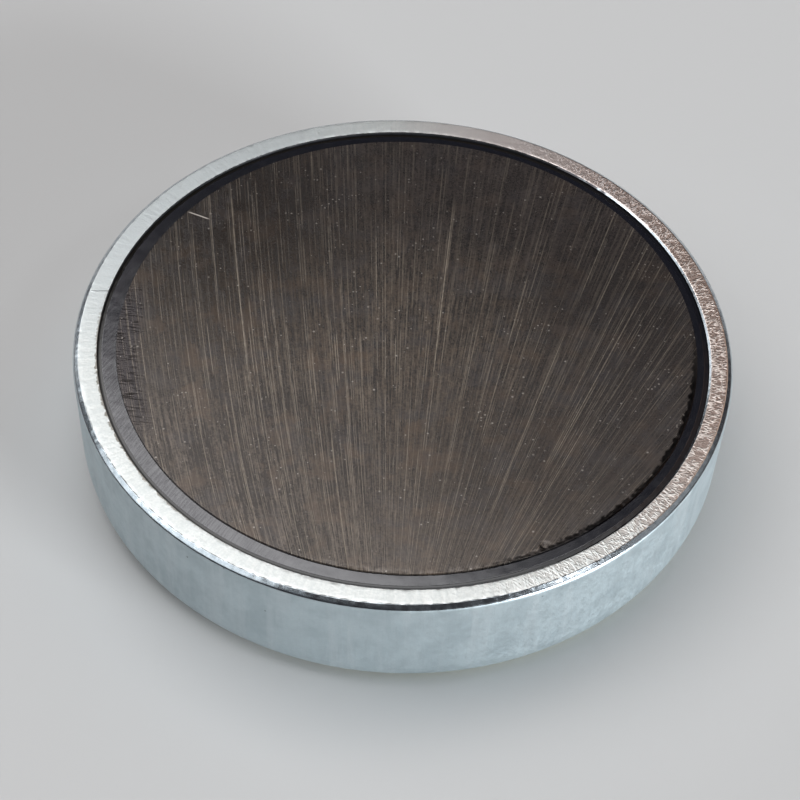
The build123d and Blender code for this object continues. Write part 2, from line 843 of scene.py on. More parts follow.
@dataclass(frozen=True)
class Glue:
    """Dark glue, dull and brown on the far side and to the left, and glossier towards the front."""

    brown: Colour = (0.011, 0.0095, 0.0085)
    black: Colour = (0.008, 0.009, 0.013)
    black_side: Side = (330.0, 70.0, 30.0)
    glossy_side: Side = (272.0, 44.0, 22.0)
    rolled_side: Side = (240.0, 56.0, 18.0)
    rolled_from: float = 23.05
    rolled_to: float = 22.93
    roughness: float = 0.18
    ior: float = 1.25
    coat_roughness: float = 0.15
    lump_depth: float = 0.008

    def material(self) -> bpy.types.Material:
        """Make the finish.

        Returns:
            The material.
        """
        glue = Surface("dark_glue")
        glossy = glue.side(*self.glossy_side) * 0.35
        rolled = glue.side(*self.rolled_side) * glue.radius.span(self.rolled_from, self.rolled_to)
        lumps = glue.place.noise(0.5, 3.0)
        return glue.finish(
            {
                "Base Color": glue.layers(self.brown, (glue.side(*self.black_side), self.black)),
                "Roughness": lumps.span(0.3, 0.7, self.roughness - 0.03, self.roughness + 0.05),
                "IOR": self.ior,
                "Coat Weight": rolled.math("MAXIMUM", glossy),
                "Coat Roughness": self.coat_roughness,
                "Normal": glue.reliefs((lumps, self.lump_depth)),
            }
        )


@dataclass(frozen=True)
class Plastic:
    """Black moulded plastic of the spacer ring, lightly hatched where it was dressed."""

    black: Colour = (0.0055, 0.006, 0.010)
    worn: Colour = (0.022, 0.020, 0.025)
    tint: Colour = (0.98, 0.965, 1.0)
    hatched_side: Side = (203.0, 42.0, 22.0)
    hatch_heading: float = 62.0
    hatch_depth: float = 0.0035
    mottle_depth: float = 0.0015
    roughness: float = 0.12
    ior: float = 1.78
    coat_roughness: float = 0.11

    def material(self) -> bpy.types.Material:
        """Make the finish.

        Returns:
            The material.
        """
        ring = Surface("black_plastic")
        hatch = ring.streaks(*ring.turned(self.hatch_heading), pitch=0.13, length=2.4)
        lines = hatch.span(0.4, 0.62) * ring.side(*self.hatched_side)
        mottle = ring.place.noise(0.9, 3.0)
        return ring.finish(
            {
                "Base Color": ring.layers(self.black, (lines, self.worn)),
                "Roughness": mottle.span(0.3, 0.7, self.roughness - 0.01, self.roughness + 0.02),
                "IOR": self.ior,
                "Specular Tint": self.tint,
                "Coat Weight": lines.span(0.0, 1.0, 1.0, 0.35),
                "Coat Roughness": self.coat_roughness,
                "Normal": ring.reliefs((lines, self.hatch_depth), (mottle, self.mottle_depth)),
            }
        )


@dataclass(frozen=True)
class GroundFerrite:
    """Ferrite with a ground face: grain, stains, fanned scratches, a comb of ticks and specks, with
    painted shade by side and in the chipped edge, and a painted sheen in front.
    """

    centre: Spot
    radius: float
    knock: Spot
    dark: Colour = (0.009, 0.0075, 0.007)
    brown: Colour = (0.157, 0.125, 0.101)
    ochre: Colour = (0.095, 0.063, 0.043)
    slate: Colour = (0.046, 0.044, 0.048)
    violet: Colour = (0.013, 0.012, 0.020)
    beige: Colour = (0.32, 0.27, 0.21)
    chalk: Colour = (0.46, 0.42, 0.38)
    soot: Colour = (0.006, 0.0055, 0.006)
    sheen: Colour = (1.0, 0.9, 0.84)
    dusk: Colour = (0.93, 0.96, 1.08)
    # sides painted darker or cooler as shade
    far_side: Side = (96.0, 78.0, 40.0)
    dusk_side: Side = (36.0, 90.0, 50.0)
    low_left_side: Side = (232.0, 62.0, 30.0)
    front_side: Side = (272.0, 34.0, 28.0)
    smudge_side: Side = (238.0, 20.0, 16.0)
    dark_left_side: Side = (158.0, 34.0, 26.0)
    dark_right_side: Side = (330.0, 52.0, 30.0)
    crumbled_side: Side = (325.0, 34.0, 12.0)
    comb_side: Side = (188.0, 16.0, 8.0)
    roughness: float = 0.19
    ior: float = 1.62
    line_depth: float = 0.002
    grain_depth: float = 0.003
    scratch_width: float = 0.11
    scratch_depth: float = -0.003
    long_scratch: Spot = (-16.86, 12.5)
    long_scratch_heading: float = -22.0
    hatch_heading: float = 8.0
    comb_heading: float = -3.0

    def material(self) -> bpy.types.Material:
        """Make the finish.

        Returns:
            The material.
        """
        face = Surface("ground_ferrite", self.centre)
        grid = face.fan()
        fine = face.streaks(*grid, pitch=0.16, length=7.0)
        dashes = face.streaks(*grid, pitch=0.17, length=1.1, layer=9.0)
        broad = face.streaks(*grid, pitch=0.34, length=9.0, layer=3.0)
        far = face.side(*self.far_side) * face.radius.span(1.0, 17.0)
        dusk = face.side(*self.dusk_side) * face.radius.span(3.0, 18.0)
        calm = far * -0.3 + dusk * -0.32 + 1.0
        low_left = face.side(*self.low_left_side)
        grain = face.place.noise(0.19, rough=0.7)
        scratches = self._scratches(face, grid, low_left) * calm
        comb, bruise = self._comb(face)
        broken = self._broken(face)
        tone = (
            grain.span(0.4, 0.6, 0.2, 0.68)
            + dashes.span(0.4, 0.6, -0.28, 0.28) * calm
            + fine.span(0.4, 0.6, -0.3, 0.3) * calm
            + broad.span(0.4, 0.6, -0.2, 0.2) * calm
            + self._wear(face, grid)
        )
        cool = face.place.vector("ADD", (31.0, 17.0, 0.0)).noise(2.7, 4.0, 0.65).span(0.48, 0.64)
        warm = face.place.noise(3.4, 4.0, 0.65).span(0.5, 0.66)
        pits = face.specks(pitch=1.7, size=0.05, share=0.12)
        colour = face.layers(
            self.dark,
            (tone / 1.8, self.brown),
            # painted shade on the far side, to the left and to the lower right, then a painted cool
            # cast on the right
            (self._shade(face, far), self.dark),
            (dusk, self.dusk, "MULTIPLY"),
            (cool * calm * 0.36, self.slate),
            (warm * ((low_left * 0.25 + 0.24) * calm), self.ochre),
            (bruise * 0.82, self.violet),
            (self._hatch(face, low_left) * 0.14, self.beige),
            (scratches * 0.52, self.beige),
            ((comb + pits) * 0.85, self.dark),
            (self._grains(face, calm), self.chalk),
            # painted shade in the chipped edge and at the foot of the knock
            (broken, self.soot),
        )
        matt = tone.span(0.2, 0.8, 0.05, -0.04) + scratches * 0.1 + far * -0.04
        cuts = scratches + comb
        return face.finish(
            {
                "Base Color": colour,
                "Metallic": broken.math("MAXIMUM", comb * 0.65),
                "Roughness": matt + self.roughness,
                "IOR": self.ior,
                "Specular Tint": self.sheen,
                "Normal": face.reliefs(
                    (fine, self.line_depth), (grain, self.grain_depth), (cuts, self.scratch_depth)
                ),
            }
        )

    def _wear(self, face: Surface, grid: Sequence[Wire]) -> Wire:
        """Give how much lighter than its grain the face is: worn streaks and clouds, a painted
        sheen that lightens the front, and a darker smudge.

        Args:
            face: The surface.
            grid: Its fanned grid.

        Returns:
            What to add to the tone.
        """
        return (
            face.streaks(*grid, pitch=0.5, length=14.0, layer=5.0).span(0.32, 0.68, -0.06, 0.09)
            + face.place.noise(2.6, 4.0, 0.6).span(0.35, 0.65, -0.08, 0.14)
            # painted sheen: the front is lightened
            + face.side(*self.front_side) * face.radius.span(8.0, 18.0) * 0.26
            + face.side(*self.smudge_side) * face.radius.span(6.0, 13.0) * -0.42
        )

    def _shade(self, face: Surface, far: Wire) -> Wire:
        """Give how much of the face is darkened as painted shade, most on the far side and to the
        lower right.

        Args:
            face: The surface.
            far: The mask of its far side.

        Returns:
            The mask.
        """
        return (
            far * 0.46
            + face.side(*self.dark_left_side) * face.radius.span(6.0, 20.0) * 0.3
            + face.side(*self.dark_right_side) * face.radius.span(4.0, 16.0) * 0.5
        )

    def _broken(self, face: Surface) -> Wire:
        """Draw the crumbled edge to the lower right and the foot of the knocked place, darkened as
        painted shade.

        Args:
            face: The surface.

        Returns:
            The mask.
        """
        line = face.ragged(0.6, 0.45).span(self.radius - 0.42, self.radius - 0.2)
        off = face.place.vector("SUBTRACT", (*self.knock, 0.0)).vector("MULTIPLY", (1.0, 1.3, 0.0))
        dent = off.length().band(0.28, 0.44, 0.06) * off.split()[1].span(0.25, -0.1)
        return (line * face.side(*self.crumbled_side)).math("MAXIMUM", dent) * 0.92

    def _scratches(self, face: Surface, grid: Sequence[Wire], low_left: Wire) -> Wire:
        """Draw the fanned scratches: a few long ones, many fine ones and more to the lower left.

        Args:
            face: The surface.
            grid: Its fanned grid.
            low_left: The mask of its lower left.

        Returns:
            The mask.
        """
        long, short, dense = (
            face.scratches(*grid, pitch=pitch, width=self.scratch_width, length=length, share=share)
            for pitch, length, share in ((1.5, 22.0, 0.6), (0.41, 9.0, 0.6), (0.2, 6.0, 0.65))
        )
        few = (long * 1.6).math("MAXIMUM", short)
        return few.math("MAXIMUM", dense * (low_left * 0.4 + 0.7))

    def _hatch(self, face: Surface, low_left: Wire) -> Wire:
        """Draw the faint marks that cross the lay.

        Args:
            face: The surface.
            low_left: The mask of its lower left.

        Returns:
            The mask.
        """
        grid = face.turned(self.hatch_heading)
        marks = face.scratches(*grid, pitch=0.27, width=0.08, length=1.7, share=0.35)
        return marks * face.place.noise(4.0).span(0.45, 0.6) * (low_left * 0.8 + 0.2)

    def _grains(self, face: Surface, calm: Wire) -> Wire:
        """Scatter light grains and clusters of crumbs, and draw one long scratch.

        Args:
            face: The surface.
            calm: How strong its marks are.

        Returns:
            The mask.
        """
        patch = face.place.noise(5.0).span(0.42, 0.6)
        cluster = face.place.noise(2.2, 3.0).span(0.53, 0.64)
        coarse = face.specks(pitch=1.0, size=0.07, share=0.32) * 0.7
        fine = face.specks(pitch=0.4, size=0.24, share=0.18) * patch * 0.6
        crumbs = face.specks(pitch=0.26, size=0.32, share=0.3) * cluster * 0.6
        light = coarse.math("MAXIMUM", fine).math("MAXIMUM", crumbs) * (calm * 0.8 + 0.2)
        middle = (*self.long_scratch, 0.0)
        long_scratch = face.nick(middle, self.long_scratch_heading, length=2.1, width=0.16)
        return light.math("MAXIMUM", long_scratch)

    def _comb(self, face: Surface) -> tuple[Wire, Wire]:
        """Draw the comb of short dark level ticks along the left edge, and the bruise under it.

        Args:
            face: The surface.

        Returns:
            The masks of both.
        """
        ticks = face.streaks(*face.turned(self.comb_heading), pitch=0.17, length=1.5)
        bruise = face.side(*self.comb_side) * face.radius.span(19.9, 21.0)
        return ticks.span(0.52, 0.38) * bruise, bruise


# --------------------------------------------------------------------------------------------
# Modelling
# --------------------------------------------------------------------------------------------


def deselect_all() -> None:
    """Leave nothing selected, so that an operator acts on the new piece alone."""
    if bpy.context.mode != "OBJECT":
        bpy.ops.object.mode_set(mode="OBJECT")
    bpy.ops.object.select_all(action="DESELECT")


def heading(azimuth: float, elevation: float = 0.0) -> Vector:
    """Give the unit vector towards a place round the object."""
    turn, rise = math.radians(azimuth), math.radians(elevation)
    flat = math.cos(rise)
    return Vector((flat * math.cos(turn), flat * math.sin(turn), math.sin(rise)))


class Lathe:
    """Draws a round piece out of one ring of edges, from station to station of its section."""

    def __init__(
        self, name: str, centre: Vector = AXIS, aside: Vector = Vector((1.0, 0.0, 0.0))
    ) -> None:
        """Set up for a piece.

        Args:
            name: The piece's name.
            centre: A point on its axis, in metres.
            aside: The way that a ring moves where it is drawn off the axis.
        """
        self.name = name
        self.centre = centre
        self.aside = aside

    def turn(
        self, section: Sequence[Station], solid: bool, smooth_angle: float = 35.0
    ) -> bpy.types.Object:
        """Draw the piece, merge its doubles, turn its faces outwards and smooth them.

        Args:
            section: The stations.
            solid: Whether the section's ends come together on the axis.
            smooth_angle: Edges sharper than this stay sharp.

        Returns:
            The piece.
        """
        stations = [(*station, 0.0)[:3] for station in section]
        piece = self._start(*stations[0][:2])
        for before, after in zip(stations, stations[1:]):
            self._draw(before, after)
        if solid:
            self._close()
            self._select_opening(piece)
            self._close()
        bpy.ops.mesh.select_all(action="SELECT")
        bpy.ops.mesh.remove_doubles(threshold=1e-7)
        bpy.ops.mesh.normals_make_consistent(inside=False)
        bpy.ops.object.mode_set(mode="OBJECT")
        bpy.ops.object.shade_smooth_by_angle(angle=math.radians(smooth_angle))
        return piece

    def _start(self, radius: float, height: float) -> bpy.types.Object:
        """Add the first ring and go into edit mode.

        Args:
            radius: Its radius.
            height: Its height.

        Returns:
            The piece.
        """
        deselect_all()
        spot = (self.centre.x, self.centre.y, height * MM)
        bpy.ops.mesh.primitive_circle_add(vertices=FACETS, radius=radius * MM, location=spot)
        piece = bpy.context.object
        piece.name = self.name
        piece.data.name = self.name
        bpy.ops.object.transform_apply(location=True, rotation=True, scale=True)
        bpy.ops.object.mode_set(mode="EDIT")
        bpy.ops.mesh.select_mode(type="EDGE")
        bpy.ops.mesh.select_all(action="SELECT")
        return piece

    def _draw(self, before: Station, after: Station) -> None:
        """Extrude the ring on from one station to the next.

        Args:
            before: The station that it stands at.
            after: The next station.
        """
        radius, height, off = before
        bpy.ops.mesh.extrude_edges_move()
        grow = after[0] / radius
        pivot = self.centre + self.aside * off * MM
        pivot.z = height * MM
        bpy.ops.transform.resize(value=(grow, grow, 1.0), center_override=pivot)
        move = self.aside * (after[2] - off) + Vector((0.0, 0.0, after[1] - height))
        bpy.ops.transform.translate(value=move * MM)

    @staticmethod
    def _close() -> None:
        """Bring the selected ring together on the axis."""
        bpy.ops.mesh.extrude_edges_move()
        bpy.ops.mesh.merge(type="CENTER")

    @staticmethod
    def _select_opening(piece: bpy.types.Object) -> None:
        """Select the first ring, which is still open.

        Args:
            piece: The piece, in edit mode.
        """
        bpy.ops.mesh.select_all(action="DESELECT")
        mesh = bmesh.from_edit_mesh(piece.data)
        for edge in mesh.edges:
            if edge.is_boundary:
                edge.select = True
        bmesh.update_edit_mesh(piece.data)


def steps(first: float, last: float, count: int) -> list[float]:
    """Give the ends of equal steps from one number to another, without the first number."""
    return [first + (last - first) * (i + 1) / count for i in range(count)]


def slope(first: Station, last: Station, count: int) -> list[Station]:
    """Give stations along a straight stretch of a section, without its first point."""
    return list(zip(*(steps(start, end, count) for start, end in zip(first, last))))


def aside_by(stations: Sequence[Station], off: float) -> list[Station]:
    """Move stations off the axis."""
    return [(radius, height, off) for radius, height in stations]


def rounded(
    corner: Station, radius: float, before: float, after: float, count: int, hold: float = 0.02
) -> list[Station]:
    """Give stations round an outer corner of a section that is rounded off.

    Args:
        corner: The sharp corner.
        radius: The rounding's radius.
        before: The way that the face before it looks, from outwards towards upwards.
        after: The way that the face after it looks.
        count: How many steps the rounding takes.
        hold: How far beyond each end of the rounding a ring keeps the faces beside it flat.

    Returns:
        The stations, with both ends and the holding rings.
    """
    lean = math.radians((before + after) / 2)
    reach = radius / math.cos(math.radians(after - before) / 2)
    middle = (corner[0] - reach * math.cos(lean), corner[1] - reach * math.sin(lean))
    turns = [math.radians(a) for a in [before, *steps(before, after, count)]]
    arc = [(middle[0] + radius * math.cos(a), middle[1] + radius * math.sin(a)) for a in turns]
    first = (arc[0][0] + hold * math.sin(turns[0]), arc[0][1] - hold * math.cos(turns[0]))
    last = (arc[-1][0] - hold * math.sin(turns[-1]), arc[-1][1] + hold * math.cos(turns[-1]))
    return [first, *arc, last]


def fold(value: float, low: float, high: float) -> float:
    """Carry a range of numbers on to 0 to 1, and hold it at both ends."""
    return min(max((value - low) / (high - low), 0.0), 1.0)


def apart(first: float, second: float) -> float:
    """Give the angle between two azimuths."""
    return abs((first - second + 180.0) % 360.0 - 180.0)


@dataclass(frozen=True)
class Wear:
    """Worn or chipped places that are pressed into a piece where a weight says so."""

    name: str
    pitch: float
    depth: float
    push: Push = Push.INWARDS
    threshold: float = 0.0
    hard: float = 1.0

    def press(self, piece: bpy.types.Object, weight: Weight, centre: Vector = AXIS) -> None:
        """Press the wear in.

        Args:
            piece: The piece, in object mode.
            weight: Gives how much wear there is, from 0 to 1, at a radius, an azimuth and a height.
            centre: A point on the piece's axis, in metres.
        """
        self._weigh(piece, weight, centre)
        deselect_all()
        piece.select_set(True)
        bpy.context.view_layer.objects.active = piece
        dent = piece.modifiers.new(self.name, "DISPLACE")
        dent.texture = self._texture()
        dent.texture_coords = "LOCAL"
        dent.direction = self.push.value
        dent.mid_level = 0.0
        dent.strength = -self.depth * MM
        dent.vertex_group = self.name
        bpy.ops.object.modifier_apply(modifier=dent.name)
        piece.vertex_groups.clear()

    def _weigh(self, piece: bpy.types.Object, weight: Weight, centre: Vector) -> None:
        """Write the weights to a vertex group.

        Args:
            piece: The piece.
            weight: The weight.
            centre: A point on the piece's axis, in metres.
        """
        group = piece.vertex_groups.new(name=self.name)
        for point in piece.data.vertices:
            x, y, z = (point.co - centre * Vector(FLAT)) / MM
            amount = weight(math.hypot(x, y), math.degrees(math.atan2(y, x)) % 360.0, z)
            if amount > 0.0:
                group.add([point.index], amount, "REPLACE")

    def _texture(self) -> bpy.types.Texture:
        """Make the lumps that the wear follows.

        Returns:
            The texture.
        """
        texture = bpy.data.textures.new(self.name, "CLOUDS")
        texture.noise_scale = self.pitch * MM
        texture.noise_depth = 2
        texture.use_color_ramp = True
        ends = texture.color_ramp.elements
        for end, position, grey in zip(ends, (self.threshold, self.hard), (0.0, 1.0)):
            end.position = position
            end.color = (grey, grey, grey, 1.0)
        return texture


# --------------------------------------------------------------------------------------------
# Pieces
# --------------------------------------------------------------------------------------------


class RoundPiece:
    """A turned piece of the magnet, which stands for a node of the frame."""

    name: ClassVar[str]
    node: ClassVar[str]
    slot: ClassVar[Slot]

    def take_size(self) -> None:
        """Take the piece's place and size from its node."""
        low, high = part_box(self.node)
        self.centre = (low + high) / 2
        self.radius = (high.x - low.x) / 2 / MM
        self.foot = low.z / MM
        self.top = high.z / MM

    def near_top(self, height: float, begin: float, full: float) -> float:
        """Weigh a height, from where wear begins below the top to where it is full."""
        return fold(height, self.top - begin, self.top - full)

    def declare(self, piece: bpy.types.Object) -> bpy.types.Object:
        """Attach the piece to the body that it rides on, and hide the node that it stands for.

        Args:
            piece: The piece.

        Returns:
            The same piece.
        """
        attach(piece, BODY)
        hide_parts(self.node)
        return piece


@dataclass
class SteelPot(RoundPiece):
    """The drawn pot, with its faced lip, rolled lip chamfer and big base corner."""

    name = "pot_shell"
    node = "steel_pot"
    slot = Slot.PLATED_STEEL

    lip_wall: float = 1.85
    draft: float = 2.7
    floor_thickness: float = 2.0
    base_flat: float = 14.0
    base_corner: float = 2.75
    bore_corner: float = 0.6
    chamfer_width: float = 0.4
    chamfer_drop: float = 0.3
    chamfer_foot_edge: float = 0.35
    lip_edge: float = 0.06
    bore_bevel: float = 0.09
    bore_edge: float = 0.02
    bore_relief: float = 0.02
    mouth_width: float = 0.115
    mouth_off: float = 0.075
    mouth_heading: float = -12.0
    mouth_zone: float = 0.5
    bright_mouth: float = 60.0
    # the far side of the mouth's bevel, which takes the bore's painted shade
    dark_mouth: float = 118.0
    dark_half: float = 58.0
    frayed_side: float = 250.0
    level: float = 0.985  # how straight up a flat face looks at least
    hair: float = 0.01

    def __post_init__(self) -> None:
        """Take the outside from the frame, a hair inside it."""
        self.take_size()
        self.bore_radius = self.radius - self.lip_wall
        self.mouth_radius = self.bore_radius + self.mouth_width
        self.radius -= SHY
        self.top -= SHY
        self.land_radius = self.radius - self.chamfer_width

    def build(self) -> bpy.types.Object:
        """Model the pot.

        Returns:
            The piece.
        """
        chamfer_foot = (self.radius, self.top - self.chamfer_drop)
        base_edge = (self.radius - chamfer_foot[1] * math.tan(math.radians(self.draft)), 0.0)
        land_edge = (self.land_radius, self.top)
        mouth = (self.mouth_radius, self.top)
        bore_top = (self.bore_radius + self.bore_relief, self.top - self.bore_bevel)
        chamfer_way = math.degrees(math.atan2(self.chamfer_width, self.chamfer_drop))
        section = [
            (HUB, 0.0),
            (self.base_flat, 0.0),
            *rounded(base_edge, self.base_corner, -90.0, -self.draft, 14),
            *rounded(chamfer_foot, self.chamfer_foot_edge, -self.draft, chamfer_way, 5),
            *rounded(land_edge, self.lip_edge, chamfer_way, 90.0, 3),
            *slope(land_edge, (mouth[0] + 0.1, mouth[1]), 6),
            *aside_by(rounded(mouth, self.bore_edge, 90.0, 135.0, 2), self.mouth_off),
            *aside_by(rounded(bore_top, self.bore_edge, 135.0, 180.0, 2), self.bore_relief),
            (self.bore_radius, self.top - 1.0),
            (self.bore_radius, self.floor_thickness + self.bore_corner),
            (self.bore_radius - self.bore_corner, self.floor_thickness),
            (HUB, self.floor_thickness),
        ]
        lathe = Lathe(self.name, aside=heading(self.mouth_heading))
        return self.declare(lathe.turn(section, solid=True))

    def wear(self, piece: bpy.types.Object) -> None:
        """Fray the outer and the inner edge of the faced lip.

        Args:
            piece: The piece.
        """

        def outer(radius: float, azimuth: float, height: float) -> float:
            """Weigh the lip's outer edge, most from the left round to the front right."""
            off = abs(radius - self.land_radius)
            here = fold(off, 0.09, 0.02) * self.near_top(height, 0.2, 0.1)
            return here * (0.35 + 0.65 * fold(apart(azimuth, self.frayed_side), 110.0, 60.0))

        def inner(radius: float, _azimuth: float, height: float) -> float:
            """Weigh the mouth of the bore."""
            off = abs(radius - self.mouth_radius)
            return fold(off, 0.1, 0.03) * self.near_top(height, 0.3, 0.1)

        Wear("frayed_lip", pitch=0.45, depth=0.022, threshold=0.35, hard=0.75).press(piece, outer)
        Wear("frayed_mouth", pitch=0.4, depth=0.015, threshold=0.4, hard=0.8).press(piece, inner)

    def dress(self, piece: bpy.types.Object) -> None:
        """Give the lip, the rolled edges, the bore and the drawn walls their finishes.

        Args:
            piece: The piece.
        """
        for finish in (DrawnZinc(), FacedLip(), RolledEdge(), DullBore()):
            piece.data.materials.append(finish.material())
        for face in piece.data.polygons:
            face.material_index = self._finish_at(face.center / MM, face.normal)

    def _finish_at(self, spot: Vector, normal: Vector) -> PotFinish:
        """Tell which finish a face has.

        Args:
            spot: The face's middle, in millimetres.
            normal: The way that it looks.

        Returns:
            The finish.
        """
        azimuth = math.degrees(math.atan2(spot.y, spot.x))
        inside = math.hypot(spot.x, spot.y) < self.bore_radius + self.mouth_zone
        inside = inside and spot.z > self.floor_thickness - self.hair
        # painted shade: the mouth's bevel on the far side takes the bore's near-black finish
        stained = normal.z < self.level and apart(azimuth, self.dark_mouth) < self.dark_half
        if inside and (spot.z < self.top - self.bore_bevel or stained):
            return PotFinish.BORE
        if spot.z < self.top - self.chamfer_drop - 2 * self.hair:
            return PotFinish.DRAWN
        if normal.z > self.level or (inside and apart(azimuth, 0.0) > self.bright_mouth):
            return PotFinish.FACED
        return PotFinish.ROLLED


@dataclass
class FerriteDisc(RoundPiece):
    """The ferrite disc, ground flush with the lip and chipped along its edge."""

    name = "ferrite_magnet"
    node = "ferrite_disc"
    slot = Slot.FERRITE

    top_edge: float = 0.03
    foot_edge: float = 0.3
    chipped_width: float = 1.0
    chipped_drop: float = 0.5
    chipped_side: float = 305.0
    knock: Spot = (10.55, -18.85)
    knock_reach: float = 0.5

    def __post_init__(self) -> None:
        """Take the size and the place from the frame."""
        self.take_size()
        self.top -= SHY

    def build(self) -> bpy.types.Object:
        """Model the disc.

        Returns:
            The piece.
        """
        side_foot = (self.radius, self.top - self.chipped_drop)
        side_top = (self.radius, self.top - self.top_edge)
        face_edge = (self.radius - self.top_edge, self.top)
        section = [
            (HUB, self.foot),
            (self.radius - self.foot_edge, self.foot),
            (self.radius, self.foot + self.foot_edge),
            side_foot,
            *slope(side_foot, side_top, 5)[:-1],
            *rounded((self.radius, self.top), self.top_edge, 0.0, 90.0, 3),
            *slope(face_edge, (face_edge[0] - self.chipped_width, self.top), 14)[1:],
            (HUB, self.top),
        ]
        return self.declare(Lathe(self.name, self.centre).turn(section, solid=True))

    def wear(self, piece: bpy.types.Object) -> None:
        """Chip the edge of the ground face, most on the near side and to the lower right.

        Args:
            piece: The piece.
        """

        def edge(radius: float, azimuth: float, height: float) -> float:
            """Weigh the edge of the face, less and less inwards and down the side."""
            here = fold(self.radius - radius, 0.35, 0.05) * self.near_top(height, 0.45, 0.1)
            return here * (0.12 + 0.88 * fold(apart(azimuth, self.chipped_side), 70.0, 30.0))

        def knock(radius: float, azimuth: float, height: float) -> float:
            """Weigh one knocked place on the edge.

            Args:
                radius: The radius.
                azimuth: The azimuth.
                height: The height.

            Returns:
                The weight.
            """
            turn = math.radians(azimuth)
            off = math.dist(self.knock, (radius * math.cos(turn), radius * math.sin(turn)))
            return fold(off, self.knock_reach, 0.0) * self.near_top(height, 0.5, 0.1)

        for wear, weight in (
            (Wear("crumbled_edge", 0.35, 0.015, threshold=0.4, hard=0.8), edge),
            (Wear("chipped_edge", 0.8, 0.025, Push.DOWN, threshold=0.58, hard=0.72), edge),
            (Wear("knocked_edge", 0.4, 0.03, Push.DOWN, threshold=0.1, hard=0.6), knock),
        ):
            wear.press(piece, weight, self.centre)

    def dress(self, piece: bpy.types.Object) -> None:
        """Give the disc its finish."""
        axis = (self.centre.x / MM, self.centre.y / MM)
        piece.data.materials.append(GroundFerrite(axis, self.radius, self.knock).material())


@dataclass
class SpacerRing(RoundPiece):
    """The plastic ring between the disc and the pot's wall, whose inside is off its outside."""

    name = "spacer_sleeve"
    node = "spacer_ring"
    slot = Slot.SPACER_PLASTIC

    outer_edge: float = 0.02
    inner_edge: float = 0.015
    foot_chamfer: float = 0.33

    def __post_init__(self) -> None:
        """Take the sizes and the places from the frame."""
        self.take_size()
        low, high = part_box("ferrite_disc")
        self.inside = (high.x - low.x) / 2 / MM
        aside = ((low + high) / 2 - self.centre) * Vector(FLAT)
        self.inside_off = aside.length / MM
        self.aside = aside.normalized()

    def build(self) -> bpy.types.Object:
        """Model the ring.

        Returns:
            The piece.
        """
        foot_edge = (self.radius - self.foot_chamfer, self.foot)
        outer_top = (self.radius, self.top)
        inner_top = (self.inside, self.top)
        section = [
            foot_edge,
            (self.radius, self.foot + self.foot_chamfer),
            *rounded(outer_top, self.outer_edge, 0.0, 90.0, 3),
            *slope((*outer_top, 0.0), (*inner_top, self.inside_off), 6)[:-1],
            *aside_by(rounded(inner_top, self.inner_edge, 90.0, 180.0, 3), self.inside_off),
            (self.inside, self.foot, self.inside_off),
            foot_edge,
        ]
        return self.declare(Lathe(self.name, self.centre, self.aside).turn(section, solid=False))

    def wear(self, piece: bpy.types.Object) -> None:
        """Leave the top of the ring a little uneven, as cut plastic is.

        Args:
            piece: The piece.
        """

        def top(_radius: float, _azimuth: float, height: float) -> float:
            """Weigh the ring's top and its edges."""
            return self.near_top(height, 0.1, 0.05)

        uneven = Wear("uneven_top", pitch=1.6, depth=0.004, threshold=0.2, hard=0.9)
        uneven.press(piece, top, self.centre)

    def dress(self, piece: bpy.types.Object) -> None:
        """Give the ring its finish."""
        piece.data.materials.append(Plastic().material())


@dataclass
class GlueLine(RoundPiece):
    """The dark glue that rose in the gap between the ring and the bore."""

    name = "glue_line"
    node = "spacer_ring"
    slot = Slot.SPACER_PLASTIC

    depth: float = 0.5
    top_at_ring: float = 0.02
    top_at_bore: float = 0.07
    lip_wall: float = 1.85

    def __post_init__(self) -> None:
        """Take the sizes and the places from the frame."""
        self.take_size()
        self.bore_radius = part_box("steel_pot")[1].x / MM - self.lip_wall

    def build(self) -> bpy.types.Object:
        """Model the glue.

        Returns:
            The piece.
        """
        foot = self.top - self.depth
        at_bore = (self.bore_radius, self.top - self.top_at_bore)
        at_ring = (self.radius, self.top - self.top_at_ring)
        section = [
            (self.bore_radius, foot),
            at_bore,
            *slope(at_bore, at_ring, 4),
            (self.radius, foot),
            (self.bore_radius, foot),
        ]
        return self.declare(Lathe(self.name).turn(section, solid=False))

    def wear(self, piece: bpy.types.Object) -> None:
        """Leave the top of the glue uneven.

        Args:
            piece: The piece.
        """

        def top(_radius: float, _azimuth: float, height: float) -> float:
            """Weigh the glue's top."""
            return self.near_top(height, 0.3, 0.1)

        Wear("sunk_glue", pitch=0.7, depth=0.03, push=Push.DOWN).press(piece, top)

    def dress(self, piece: bpy.types.Object) -> None:
        """Give the glue its finish."""
        piece.data.materials.append(Glue().material())


# --------------------------------------------------------------------------------------------
# Studio
# --------------------------------------------------------------------------------------------


@dataclass(frozen=True)
class SoftBox:
    """One flat lamp that faces the object, with its sizes and its distance in metres.

    Its glow is the brightness of its face, where 1 is a white wall in full light.
    """

    name: str
    azimuth: float
    elevation: float
    width: float
    tall: float
    glow: float
    colour: Colour = (1.0, 1.0, 1.0)
    roll: float = 0.0
    distance: float = 3.0

    def hang(self) -> None:
        """Add the lamp."""
        deselect_all()
        towards = heading(self.azimuth, self.elevation)
        bpy.ops.object.light_add(type="AREA", location=towards * self.distance)
        lamp = bpy.context.object
        lamp.name = self.name
        lamp.data.shape = "RECTANGLE"
        lamp.data.size = self.width
        lamp.data.size_y = self.tall
        lamp.data.energy = self.glow * math.pi * self.width * self.tall
        lamp.data.color = self.colour
        turn = (-towards).to_track_quat("-Z", "Y").to_matrix().to_4x4()
        roll = Matrix.Rotation(math.radians(self.roll), 4, "Z")
        lamp.matrix_world = Matrix.Translation(towards * self.distance) @ turn @ roll


